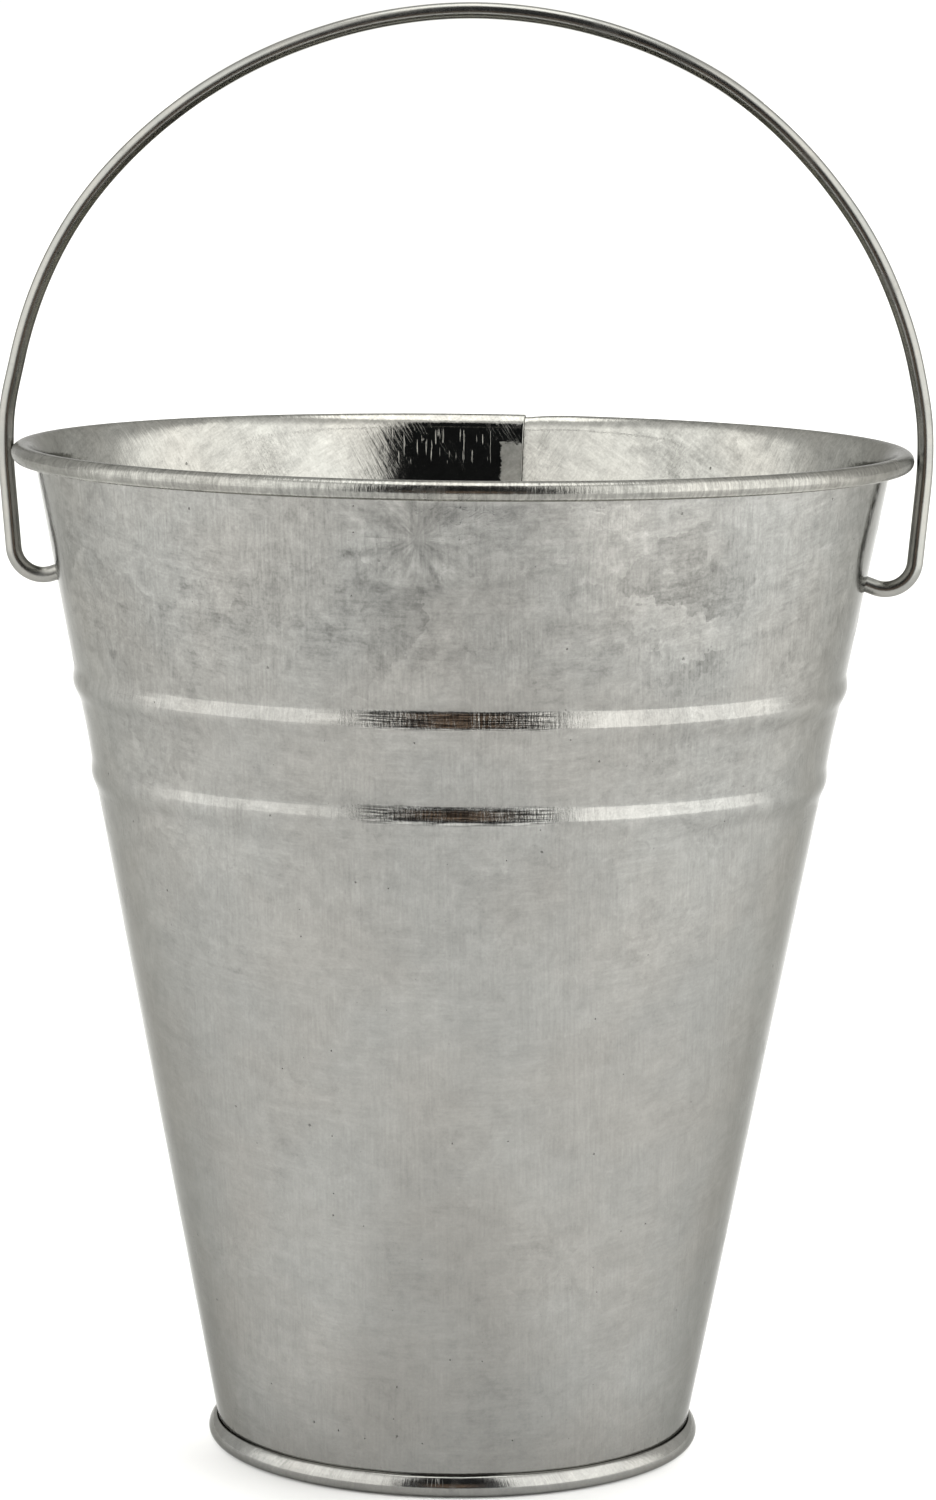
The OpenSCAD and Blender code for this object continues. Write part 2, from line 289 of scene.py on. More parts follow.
        # the upper flanks of the beads carry fine marks left by the swaging rolls
        WB = uv_mm(t, "wrap")
        vb = add(t, "SeparateXYZ", {0: WB}).outputs[1]
        on_bead = None
        for mid in puckers:
            k = math_n(t, "SUBTRACT", 1.0, ramp(t, math_n(t, "ABSOLUTE", math_n(t, "SUBTRACT", vb, mid)), 0.9, 1.6))
            on_bead = k if on_bead is None else math_n(t, "MAXIMUM", on_bead, k)
        tk = noise(t, vscale(t, WB, (3.2, 0.35, 1)), 1.0, 3.0, 0.65, 0.2)
        smear = noise(t, vscale(t, WB, (0.16, 4.0, 1)), 1.0, 3.0, 0.65, 0.3)
        ub = math_n(t, "ABSOLUTE", math_n(t, "SUBTRACT", add(t, "SeparateXYZ", {0: WB}).outputs[0], 204.0))
        gripped = math_n(t, "MULTIPLY", on_bead, math_n(t, "SUBTRACT", 1.0, ramp(t, ub, 16.0, 24.0)))
        flank = math_n(t, "ADD", c(tk, 1.6), c(ramp(t, smear, 0.38, 0.62), 1.3))
        flank = math_n(t, "MULTIPLY", flank, math_n(t, "MULTIPLY", on_bead, math_n(t, "SUBTRACT", 1.0, ramp(t, ub, 12.5, 16.5))))
        lum = math_n(t, "MULTIPLY", lum, math_n(t, "ADD", flank, 1.0))
    on_roll = None
    if roll_from is not None:
        # the rolled rim is duller than the sheet and ticked across
        W = uv_mm(t, "wrap")
        on_roll = ramp(t, add(t, "SeparateXYZ", {0: W}).outputs[1], roll_from - 0.3, roll_from + 0.6)
        tick = noise(t, vscale(t, W, (2.3, 0.45, 1)), 1.0, 4.0, 0.7, 0.3)
        dull = math_n(t, "ADD", 0.90, c(tick, 0.95))
        lum = math_n(t, "MULTIPLY", lum, math_n(t, "MULTIPLY_ADD", on_roll, math_n(t, "SUBTRACT", dull, 1.0), 1.0))
        # painted light: the roll's sheltered underside is painted nearly three times brighter, standing in for the
        # floor light it reflects
        painted_underside_light = ramp(t, add(t, "SeparateXYZ", {0: W}).outputs[1], roll_from + 3.5, roll_from + 4.6)
        lum = math_n(t, "MULTIPLY", lum, math_n(t, "MULTIPLY_ADD", painted_underside_light, 1.9, 1.0))
    # the tint drifts from a little green to a little warm with the clouds
    tint = add(t, "Mix", {"Factor": ramp(t, noise(t, shift(t, P, (7, 23, 0)), 0.05, 3.0), 0.35, 0.65, False),
                          "A": (warm[0] * 0.994, warm[1] * 1.002, warm[2] * 0.995, 1), "B": (warm[0] * 1.010, warm[1], warm[2] * 0.980, 1)},
               data_type="RGBA")
    # the first A and B sockets of Mix are floats, so the colour ones are set by place
    for s in tint.inputs:
        if s.type == "RGBA" and s.name == "A":
            s.default_value = (warm[0] * 0.994, warm[1] * 1.002, warm[2] * 0.995, 1)
        if s.type == "RGBA" and s.name == "B":
            s.default_value = (warm[0] * 1.010, warm[1], warm[2] * 0.980, 1)
    tint_out = [o for o in tint.outputs if o.type == "RGBA"][0]
    colour = add(t, "VectorMath", {0: tint_out, "Scale": lum}, operation="SCALE").outputs[0]
    t.links.new(colour, bsdf.inputs["Base Color"])
    rg = math_n(t, "ADD", math_n(t, "MULTIPLY_ADD", mott, 0.06, rough - 0.03), c(cloud, 0.04))
    rg = math_n(t, "ADD", rg, math_n(t, "MULTIPLY", sm, 0.10))
    rg = math_n(t, "ADD", rg, math_n(t, "MULTIPLY", dot, 0.25))
    if extra_rough is not None:
        rg = math_n(t, "ADD", rg, extra_rough)
    if on_roll is not None:
        rg = math_n(t, "ADD", rg, math_n(t, "MULTIPLY", on_roll, 0.13))
    t.links.new(math_n(t, "MAXIMUM", rg, 0.04), bsdf.inputs["Roughness"])
    # relief, in metres
    b = add(t, "Bump", {"Height": mott, "Distance": 60e-6, "Strength": 1.0})
    b = add(t, "Bump", {"Height": st, "Distance": 8.0e-6 * streak, "Strength": 1.0, "Normal": b.outputs[0]})
    b = add(t, "Bump", {"Height": cloud, "Distance": 16e-6 * leather, "Strength": 1.0, "Normal": b.outputs[0]})
    b = add(t, "Bump", {"Height": dash, "Distance": 4e-6 * leather, "Strength": 1.0, "Normal": b.outputs[0]})
    b = add(t, "Bump", {"Height": grain, "Distance": 3e-6, "Strength": 1.0, "Normal": b.outputs[0]})
    b = add(t, "Bump", {"Height": hair_l, "Distance": 7e-6 * hair, "Strength": 1.0, "Normal": b.outputs[0]})
    b = add(t, "Bump", {"Height": dot, "Distance": 40e-6, "Strength": 1.0, "Normal": b.outputs[0]}, invert=True)
    if roll_from is not None:
        # fine puckers across the rolled rim
        pk = noise(t, vscale(t, W, (1.25, 0.22, 1)), 1.0, 3.0, 0.7, 0.3)
        b = add(t, "Bump", {"Height": math_n(t, "MULTIPLY", pk, on_roll), "Distance": 45e-6, "Strength": 1.0, "Normal": b.outputs[0]})
    if inner:
        WI = uv_mm(t, "wrap")
        wi = add(t, "SeparateXYZ", {0: WI})
        ac = math_n(t, "SUBTRACT", math_n(t, "MULTIPLY", wi.outputs[0], dcos(27)), math_n(t, "MULTIPLY", wi.outputs[1], dsin(27)))
        al = math_n(t, "ADD", math_n(t, "MULTIPLY", wi.outputs[0], dsin(27)), math_n(t, "MULTIPLY", wi.outputs[1], dcos(27)))
        br = noise(t, add(t, "CombineXYZ", {0: math_n(t, "MULTIPLY", ac, 1.7), 1: math_n(t, "MULTIPLY", al, 0.13), 2: 5.5}).outputs[0], 1.0, 3.0, 0.6, 0.3, dims="3D")
        brushed = math_n(t, "MULTIPLY", ramp(t, wi.outputs[0], 8.0, 26.0), math_n(t, "SUBTRACT", 1.0, ramp(t, wi.outputs[0], 60.0, 90.0)))
        b = add(t, "Bump", {"Height": math_n(t, "MULTIPLY", br, brushed), "Distance": 26e-6, "Strength": 1.0, "Normal": b.outputs[0]})
        tn = ramp(t, noise(t, vscale(t, WI, (2.3, 0.16, 1)), 1.0, 2.0, 0.55, 0.1), 0.62, 0.72)
        place = math_n(t, "MULTIPLY", ramp(t, wi.outputs[1], 141.0, 142.5), math_n(t, "SUBTRACT", 1.0, ramp(t, wi.outputs[1], 146.0, 147.5)))
        place = math_n(t, "MULTIPLY", place, math_n(t, "MULTIPLY", ramp(t, wi.outputs[0], 4.0, 6.0), math_n(t, "SUBTRACT", 1.0, ramp(t, wi.outputs[0], 19.0, 26.0))))
        b = add(t, "Bump", {"Height": math_n(t, "MULTIPLY", tn, place), "Distance": 15e-6, "Strength": 1.0, "Normal": b.outputs[0]})
    if puckers:
        pk = noise(t, vscale(t, WB, (2.4, 0.5, 1)), 1.0, 4.0, 0.75, 0.3)
        b = add(t, "Bump", {"Height": math_n(t, "MULTIPLY", pk, gripped), "Distance": 34e-6, "Strength": 1.0, "Normal": b.outputs[0]})
    t.links.new(b.outputs[0], bsdf.inputs["Normal"])
    return m


# ---------------------------------------------------------------- wall
def wall_path():
    fz = T * 1.5 + 0.06
    fb = 1.5 * T + LAP_GAP + 0.075
    fc = (wall_r(fz + fb) - HALF_T + fb, fz + fb)
    curl_r = (CURL_D - T) / 2
    curl_z = BODY_H - CURL_D / 2
    fl_z = curl_z + curl_r * dcos(FLARE_A) - FLARE_R * (dcos(FLARE_A) - dcos(WALL_A))
    fl_c = (wall_r(fl_z) - HALF_T + FLARE_R * dsin(WALL_A), fl_z - FLARE_R * dcos(WALL_A))
    cu_c = (fl_c[0] - (FLARE_R - curl_r) * dsin(FLARE_A), curl_z)
    b1, b2, hw = BEADS[0][0], BEADS[1][0], BEAD_W / 2
    zs = list(np.linspace(4, b2 - hw - 1.0, 24)) + list(np.linspace(b2 - hw, b2 + hw, 17)) \
        + list(np.linspace(b2 + hw, b1 - hw, 9))[1:-1] + list(np.linspace(b1 - hw, b1 + hw, 17)) \
        + list(np.linspace(b1 + hw, PIVOT_Z - 7, 7))[1:-1] + [PIVOT_Z + i for i in range(-7, 8)] \
        + list(np.linspace(PIVOT_Z + 7, fl_z - 0.4, 8))[1:]
    path = [(fc[0] + 0.11, fz)] + bend(fc, fb, 180, WALL_A, 6) + [wall_p(z) for z in zs]
    path += bend(fl_c, FLARE_R, WALL_A, FLARE_A, 9) + bend(cu_c, curl_r, FLARE_A, CURL_END, 30)[1:]
    return path


OUTER_SHIFT = (0.9, 0.4)  # keeps the paint of the two skins apart


def make_wall(mat_out, mat_in):
    p, s, n = along(wall_path())
    nj = len(p)
    r_mid = 62.0
    deg = math.degrees(1 / r_mid)  # one millimetre of lap, as an angle
    a0, a1 = SEAM_A, SEAM_A + 360 + LAP_A
    edge = [0, 0.05, 0.12, 0.4, 1.0, 1.7, 2.4, 3.1, 3.8]
    cols = [a0 + e * deg for e in edge]
    tail = [a1 - e * deg for e in edge[:4]][::-1]
    holes = (180.0, 360.0)
    grid = []
    a = cols[-1]
    marks_ = [180 - 7, 180 + 7, 360 - 7, 360 + 7, a0 + 360 - 16, a0 + 360 - 0.6, a0 + 360 + 0.4, tail[0]]
    steps = [1.17, 1.0, 1.17, 1.0, 1.17, 0.9, 0.5, 1.0]
    for mark, st in zip(marks_, steps):
        k = max(1, round((mark - a) / st))
        grid += list(np.linspace(a, mark, k + 1)[1:])
        a = mark
    cols = np.array(cols + grid[:-1] + tail)
    ni = len(cols)
    TH = np.repeat(cols[:, None], nj, 1)
    S = np.repeat(s[None, :], ni, 0)
    gone = np.zeros((ni - 1, nj - 1), bool)
    burr = np.zeros((ni, nj))
    jc = int(np.argmin(np.abs(p[:, 1] - PIVOT_Z) + 1000 * (p[:, 0] > 62)))
    ring4 = []
    for h in holes:
        ic = int(np.argmin(np.abs(cols - h)))
        R = p[jc, 0]
        dy, dz = math.radians(1.0) * R, 1.0
        loop = []
        for i in range(-7, 8):
            for j in range(-7, 8):
                k = max(abs(i), abs(j))
                if k < 4:
                    continue
                if abs(i) >= abs(j):
                    phi = (j / i) * math.pi / 4 + (0 if i > 0 else math.pi)
                else:
                    phi = math.pi / 2 - (i / j) * math.pi / 4 + (0 if j > 0 else math.pi)
                f = (k - 4) / 3
                f = f * f * (1.6 - 0.6 * f)
                y = (1 - f) * HOLE_R * math.cos(phi) + f * i / k * 7 * dy
                z = (1 - f) * HOLE_R * math.sin(phi) + f * j / k * 7 * dz
                TH[ic + i, jc + j] = h + math.degrees(math.asin(y / R))
                S[ic + i, jc + j] = s[jc] + z / dsin(WALL_A)
                burr[ic + i, jc + j] = {4: 0.10, 5: 0.035}.get(k, 0)
                if k == 4:
                    loop.append((phi % (2 * math.pi), ic + i, jc + j))
        gone[ic - 4:ic + 4, jc - 4:jc + 4] = True
        ring4.append([(i, j) for _, i, j in sorted(loop)])
    th = np.radians(TH)
    # centre line and normal at every grid point
    pr, pz = np.interp(S, s, p[:, 0]), np.interp(S, s, p[:, 1])
    nr, nz = np.interp(S, s, n[:, 0]), np.interp(S, s, n[:, 1])
    ln = np.hypot(nr, nz)
    nr, nz = nr / ln, nz / ln
    # the far end of the sheet runs straight and passes outside the near end
    step = T + LAP_GAP
    flat_from = math.degrees(math.acos(p[jc, 0] / (p[jc, 0] + step)))
    d = np.clip(TH - (a0 + 360 - flat_from), 0, None)
    run = pr * (1 / np.cos(np.radians(np.minimum(d, flat_from))) - 1)
    run = np.where(d > flat_from, step, np.minimum(run, step))
    # slight waves of hand-fed rolling, the same for both layers of the lap
    mid = np.clip((pz - 6) / 20, 0, 1) * np.clip((146 - pz) / 10, 0.25, 1)
    w = 0.030 * np.cos(3 * th + 1.1 + pz / 60) + 0.018 * np.cos(7 * th - 0.7 + pz / 23) + 0.010 * np.cos(13 * th + 2.0 - pz / 15)
    w += 0.006 * np.cos(23 * th + 0.4 + pz / 11) + 0.003 * np.cos(41 * th - 1.3 - pz / 8)
    w = w * mid - 0.03
    thick = np.full(ni, T / 2)
    for e, f in ((0, 0.62), (1, 0.9)):
        thick[e] *= f
        thick[-1 - e] *= f
    side = []
    for sgn in (1, -1):  # 1 the inner skin, -1 the outer
        off = sgn * thick[:, None] - run + burr
        # the two long cut edges of the blank are slightly rounded
        off[:, 0] = off[:, 0] - sgn * 0.05
        off[:, -1] = off[:, -1] - sgn * 0.05
        r, z = pr + nr * off + w, pz + nz * off
        side.append(np.stack([r * np.cos(th), r * np.sin(th), z], 2).reshape(-1, 3))
    verts = np.concatenate(side)
    nv = ni * nj

    def vid(i, j, k):
        return k * nv + i * nj + j

    faces, mi = [], []
    for i in range(ni - 1):
        for j in range(nj - 1):
            if gone[i, j]:
                continue
            faces.append((vid(i, j, 0), vid(i, j + 1, 0), vid(i + 1, j + 1, 0), vid(i + 1, j, 0)))
            mi.append(1)
            faces.append((vid(i, j, 1), vid(i + 1, j, 1), vid(i + 1, j + 1, 1), vid(i, j + 1, 1)))
            mi.append(0)
    for i, flip in ((0, False), (ni - 1, True)):
        for j in range(nj - 1):
            f = (vid(i, j, 0), vid(i, j, 1), vid(i, j + 1, 1), vid(i, j + 1, 0))
            faces.append(f[::-1] if flip else f)
            mi.append(1)
    for j, flip in ((0, True), (nj - 1, False)):
        for i in range(ni - 1):
            f = (vid(i, j, 0), vid(i, j, 1), vid(i + 1, j, 1), vid(i + 1, j, 0))
            faces.append(f[::-1] if flip else f)
            mi.append(1)
    for loop in ring4:
        m = len(loop)
        for q in range(m):
            (ia, ja), (ib, jb) = loop[q], loop[(q + 1) % m]
            faces.append((vid(ia, ja, 1), vid(ib, jb, 1), vid(ib, jb, 0), vid(ia, ja, 0)))
            mi.append(0)
    used = np.zeros(2 * nv, bool)
    for f in faces:
        used[list(f)] = True
    new = np.cumsum(used) - 1
    # flat blank and wrapped coordinates, in metres
    alpha = np.radians(TH - (a0 + a1) / 2) * CONE_SIN
    rho = FOOT_D / 2 / CONE_SIN + S
    flat = np.stack([rho * np.sin(alpha), rho * np.cos(alpha) - FOOT_D / 2 / CONE_SIN], 2).reshape(-1, 2) * MM
    wrap = np.stack([np.radians(TH - a0) * r_mid, S], 2).reshape(-1, 2) * MM
    uv = {"flat": np.concatenate([flat, flat + OUTER_SHIFT])[used], "wrap": np.concatenate([wrap, wrap])[used]}
    faces = [tuple(new[i] for i in f) for f in faces]
    ob = mesh_piece("wall_sheet", verts[used], faces, uv, [mat_out, mat_in], mi, sharp=40)
    print("wall", ni, nj, "tris", 2 * len(faces), "path", s[-1])
    return ob, s, p


# ---------------------------------------------------------------- base pan
def make_pan(mat):
    foot_r, foot_h, lift = 1.4, 3.2, 2.2
    ring_r = foot_r - T / 2
    ring_c = ((FOOT_D + 3.8) / 2 - foot_r, foot_r)
    pan_r1, pan_side = 0.9, FOOT_D / 2 - 0.7
    arc = bend_l(ring_c, ring_r, 0, 100, 16)

    def turn_on(q, r, h0, h1, n):
        return bend_l((q[0] - r * dcos(h0 - 90), q[1] - r * dsin(h0 - 90)), r, h0, h1, n)[1:]

    lip = turn_on(arc[-1], 2.7, 100, 128, 7)
    lip += turn_on(lip[-1], 0.82, 128, 167, 7)
    floor = [(r, lift + T / 2) for r in list(np.linspace(0.4, pan_side - pan_r1, 26))]
    path = floor + bend((pan_side - pan_r1, lift + T / 2 - pan_r1), pan_r1, 0, -90, 8)[1:] \
        + bend_l((pan_side + 0.45, T / 2 + 0.45), 0.45, -90, 0, 7) + arc + lip
    p, s, n = along(path)
    nj, ni = len(p), 240
    th = np.linspace(0, 2 * math.pi, ni, endpoint=False)[:, None]
    pr, pz, nr, nz = (x[None, :] for x in (p[:, 0], p[:, 1], n[:, 0], n[:, 1]))
    sides = []
    inner = np.clip((pan_side - 3 - pr) / 10, 0, 1)
    lipw = np.clip((s[None, :] - s[-15]) / (s[-1] - s[-15]), 0, 1)
    dish = -0.10 * inner * np.cos(th * 2 + 0.6) * (pr / pan_side) ** 2 - 0.12 * inner ** 2
    crimp = lipw * (0.035 * np.cos(5 * th + 0.4) + 0.03 * np.cos(11 * th + 1.9) + 0.02 * np.cos(24 * th + 0.3))
    for sgn in (1, -1):
        off = sgn * (T / 2 - np.where(np.arange(nj) == nj - 1, 0.06, 0.0)[None, :])
        r = pr + nr * off + 0 * th - 0.012 * lipw
        z = pz + nz * off + dish + crimp * 0.6 - 0.03 * lipw
        z = np.maximum(z, 0.0)
        r = r + crimp * 0.3
        # the ring is pushed out where it passes over the lap
        r = r + lipw * 0.24 * np.exp(-((np.degrees(th) - SEAM_A - 3) / 5.5) ** 2)
        sides.append(np.stack([r * np.cos(th), r * np.sin(th), z + 0 * th], 2).reshape(-1, 3))
    verts = np.concatenate(sides + [[[0, 0, lift + T - 0.12]], [[0, 0, lift - 0.12]]])
    nv = ni * nj

    def vid(i, j, k):
        return k * nv + (i % ni) * nj + j

    faces = []
    for i in range(ni):
        for j in range(nj - 1):
            faces.append((vid(i, j, 0), vid(i, j + 1, 0), vid(i + 1, j + 1, 0), vid(i + 1, j, 0)))
            faces.append((vid(i, j, 1), vid(i + 1, j, 1), vid(i + 1, j + 1, 1), vid(i, j + 1, 1)))
        faces.append((vid(i, nj - 1, 0), vid(i, nj - 1, 1), vid(i + 1, nj - 1, 1), vid(i + 1, nj - 1, 0)))
        faces.append((2 * nv, vid(i, 0, 0), vid(i + 1, 0, 0)))
        faces.append((2 * nv + 1, vid(i + 1, 0, 1), vid(i, 0, 1)))
    rho = s[None, :] + p[0, 0] + 0 * th
    flat = np.stack([rho * np.cos(th), rho * np.sin(th)], 2).reshape(-1, 2) * MM
    wrap = np.stack([th * 35 + 0 * pr, s[None, :] + 0 * th], 2).reshape(-1, 2) * MM
    uv = {"flat": np.concatenate([flat, flat + (0.5, 0.3), [[0, 0]], [[0.5, 0.3]]]),
          "wrap": np.concatenate([wrap, wrap, [[0, 0]], [[0, 0]]])}
    ob = mesh_piece("base_pan_sheet", verts, faces, uv, [mat], [0] * len(faces), sharp=45)
    print("pan", ni, nj, "tris", 2 * len(faces))
    return ob


# ---------------------------------------------------------------- bail
def bail_line():
    """Centre line of the wire in the X-Z plane, from the right inner end over the bow to the left one."""
    drop, wire, gap, lean, hr, slope, tr, tl = 3.9, 2.4, 0.3, 5, 4.3, 20, 2.2, 1.6
    curl_r = (CURL_D - T) / 2
    curl_z = BODY_H - CURL_D / 2
    fl_z = curl_z + curl_r * dcos(FLARE_A) - FLARE_R * (dcos(FLARE_A) - dcos(WALL_A))
    fl_cx = wall_r(fl_z) - HALF_T + FLARE_R * dsin(WALL_A)
    rim = fl_cx - (FLARE_R - curl_r) * dsin(FLARE_A) + CURL_D / 2
    bow = rim + gap + wire / 2
    sr = bow - 1.8 * drop
    sc = np.array([1.8 * drop, BODY_H - 0.5])
    tc = np.array([0, sc[1] - 1.625 * drop])
    ja = math.degrees(math.atan(1.625 / 1.8))
    tor = sr + math.hypot(1.8, 1.625) * drop
    top = sc + sr * np.array([dcos(lean), -dsin(lean)])
    piv = np.array([wall_r(PIVOT_Z) - HALF_T, PIVOT_Z])
    sn = np.array([dsin(slope), dcos(slope)])
    li = hr * np.array([-dcos(lean), dsin(lean)])
    ll = ((top + li - piv) @ sn - hr) / (np.array([dsin(lean), dcos(lean)]) @ sn)
    hc = top - ll * np.array([dsin(lean), dcos(lean)]) + li
    he = hc - hr * sn
    pin = piv + 2.56 / dcos(slope) * np.array([-dcos(slope), dsin(slope)])
    tcn = pin + tr * sn

    def arc(c, r, a, b, n):
        return [np.array([c[0] + r * dcos(a + (b - a) * i / n), c[1] + r * dsin(a + (b - a) * i / n)]) for i in range(n + 1)]

    def bar(a, b, n):
        return [np.asarray(a) + (np.asarray(b) - np.asarray(a)) * i / n for i in range(n + 1)]

    half = bar(tcn + [-tr, tl], tcn + [-tr, 0], 3) + arc(tcn, tr, 180, 270 - slope, 12)[1:] + bar(pin, he, 8)[1:]
    half += arc(hc, hr, -90 - slope, -lean, 24)[1:] + bar(hc - li, top, 10)[1:] + arc(sc, sr, -lean, ja, 40)[1:]
    half += arc(tc, tor, ja, 90, 42)[1:]
    left = [np.array([-q[0], q[1]]) for q in half[:-1]][::-1]
    line = np.array(half + left)
    # a bow bent by hand: up to half a millimetre off the true curve, and true where it passes the rim
    d = line - (0, 146)
    turn = np.degrees(np.arctan2(d[:, 1], d[:, 0]))
    off = np.interp(turn, (0, 20, 35, 47, 55, 65, 75, 83, 90, 98, 110, 130, 150, 165, 180),
                    (-0.15, -0.35, -0.2, 0.25, 0.5, 0.35, 0.15, 0.0, -0.1, -0.3, -0.5, -0.5, -0.4, -0.5, -0.4))
    for _ in range(3):
        off[1:-1] = (off[:-2] + 2 * off[1:-1] + off[2:]) / 4
    k = np.clip((line[:, 1] - 149) / 9, 0, 1)
    off = off * k * k * (3 - 2 * k)
    return line + d / np.linalg.norm(d, axis=1)[:, None] * off[:, None]


def make_bail(mat, sides=32):
    c = bail_line()
    seg = np.linalg.norm(np.diff(c, axis=0), axis=1)
    c = c[np.concatenate([[True], seg > 1e-6])]
    s = np.concatenate([[0], np.cumsum(np.linalg.norm(np.diff(c, axis=0), axis=1))])
    t = np.gradient(c, s, axis=0)
    t /= np.linalg.norm(t, axis=1)[:, None]
    # rings at the two cut ends: a small chamfer left by the cutter
    rad = np.full(len(c), 1.2)
    ends = []
    for sgn, i in ((-1, 0), (1, -1)):
        ends.append([(c[i] + sgn * t[i] * d, r) for d, r in ((-0.16, 1.2), (-0.06, 1.14), (0.0, 1.0))])
    ring_c = [q for q, _ in ends[0][::-1]] + list(c[1:-1]) + [q for q, _ in ends[1]]
    ring_r = [r for _, r in ends[0][::-1]] + list(rad[1:-1]) + [r for _, r in ends[1]]
    ring_t = [t[0]] * 3 + list(t[1:-1]) + [t[-1]] * 3
    c, rad, t = np.array(ring_c), np.array(ring_r), np.array(ring_t)
    s = np.concatenate([[0], np.cumsum(np.linalg.norm(np.diff(c, axis=0), axis=1))])
    # the wire is not perfectly round or straight
    rad = rad - 0.035 + 0.006 * np.cos(s / 9.0) * np.cos(s / 3.7 + 1)
    nrm = np.stack([-t[:, 1], t[:, 0]], 1)
    n_r = len(c)
    ang = np.linspace(0, 2 * math.pi, sides, endpoint=False)
    verts = np.zeros((n_r, sides, 3))
    for k, a in enumerate(ang):
        verts[:, k, 0] = c[:, 0] + rad * math.cos(a) * nrm[:, 0]
        verts[:, k, 1] = rad * math.sin(a)
        verts[:, k, 2] = c[:, 1] + rad * math.cos(a) * nrm[:, 1]
    verts = verts.reshape(-1, 3)
    faces = []
    for i in range(n_r - 1):
        for k in range(sides):
            k2 = (k + 1) % sides
            faces.append(((i + 1) * sides + k, (i + 1) * sides + k2, i * sides + k2, i * sides + k))
    cap = [[c[0, 0] - 0.03 * t[0, 0], 0, c[0, 1] - 0.03 * t[0, 1]], [c[-1, 0] + 0.03 * t[-1, 0], 0, c[-1, 1] + 0.03 * t[-1, 1]]]
    nv = len(verts)
    verts = np.concatenate([verts, cap])
    for k in range(sides):
        k2 = (k + 1) % sides
        faces.append((nv, k, k2))
        faces.append((nv + 1, (n_r - 1) * sides + k2, (n_r - 1) * sides + k))
    uvw = np.stack([np.repeat(s, sides), np.tile(ang * 1.2, n_r)], 1) * MM
    uvw = np.concatenate([uvw, [[0, 0], [s[-1] * MM, 0]]])
    ob = mesh_piece("bail_wire", verts, faces, {"flat": uvw}, [mat], [0] * len(faces), sharp=50)
    print("bail rings", n_r, "tris", 2 * len(faces), "length", s[-1])
    return ob


def wire_material():
    m = bpy.data.materials.new("wire_zinc")
    m.use_nodes = True
    t = m.node_tree
    t.nodes.clear()
    out = add(t, "OutputMaterial")
    bsdf = add(t, "BsdfPrincipled", {"Metallic": 1.0, "Specular Tint": (0.55, 0.55, 0.54, 1)})
    t.links.new(bsdf.outputs[0], out.inputs[0])
    obj = add(t, "TexCoord").outputs["Object"]
    P = add(t, "VectorMath", {0: obj, "Scale": 1000.0}, operation="SCALE").outputs[0]
    W = uv_mm(t, "flat")
    drawn = noise(t, vscale(t, W, (0.05, 5.0, 1)), 1.0, 3.0, 0.6, 0.1)
    drawn2 = noise(t, vscale(t, W, (0.35, 9.0, 1)), 1.0, 2.0, 0.6, 0.1)
    patch = noise(t, P, 0.22, 4.0, 0.6, dims="3D")
    grain = noise(t, P, 2.6, 3.0, 0.7, dims="3D")
    rings = noise(t, vscale(t, W, (1.4, 0.15, 1)), 1.0, 3.0, 0.6, 0.2)

    def c(x, k):
        return math_n(t, "MULTIPLY", math_n(t, "SUBTRACT", x, 0.5), k)

    val = math_n(t, "ADD", c(drawn, 0.22), c(patch, 0.30))
    val = math_n(t, "ADD", val, c(grain, 0.12))
    val = math_n(t, "ADD", val, c(rings, 0.10))
    lum = math_n(t, "MULTIPLY_ADD", val, 0.265, 0.265)
    dull = ramp(t, noise(t, shift(t, P, (9, 4, 31)), 0.12, 3.0, 0.6, dims="3D"), 0.55, 0.72)
    lum = math_n(t, "MULTIPLY", lum, math_n(t, "MULTIPLY_ADD", dull, -0.22, 1.0))
    mix = add(t, "Mix", {"Factor": ramp(t, patch, 0.35, 0.65, False)}, data_type="RGBA")
    for sck in mix.inputs:
        if sck.type == "RGBA" and sck.name == "A":
            sck.default_value = (0.99, 1.0, 0.95, 1)
        if sck.type == "RGBA" and sck.name == "B":
            sck.default_value = (1.02, 1.0, 0.93, 1)
    colour = add(t, "VectorMath", {0: [o for o in mix.outputs if o.type == "RGBA"][0], "Scale": lum}, operation="SCALE").outputs[0]
    t.links.new(colour, bsdf.inputs["Base Color"])
    t.links.new(math_n(t, "ADD", math_n(t, "MULTIPLY_ADD", patch, 0.12, 0.17), math_n(t, "MULTIPLY", dull, 0.10)), bsdf.inputs["Roughness"])
    b = add(t, "Bump", {"Height": drawn, "Distance": 6e-6, "Strength": 1.0})
    b = add(t, "Bump", {"Height": drawn2, "Distance": 2.5e-6, "Strength": 1.0, "Normal": b.outputs[0]})
    b = add(t, "Bump", {"Height": patch, "Distance": 25e-6, "Strength": 1.0, "Normal": b.outputs[0]})
    b = add(t, "Bump", {"Height": grain, "Distance": 3e-6, "Strength": 1.0, "Normal": b.outputs[0]})
    t.links.new(b.outputs[0], bsdf.inputs["Normal"])
    return m


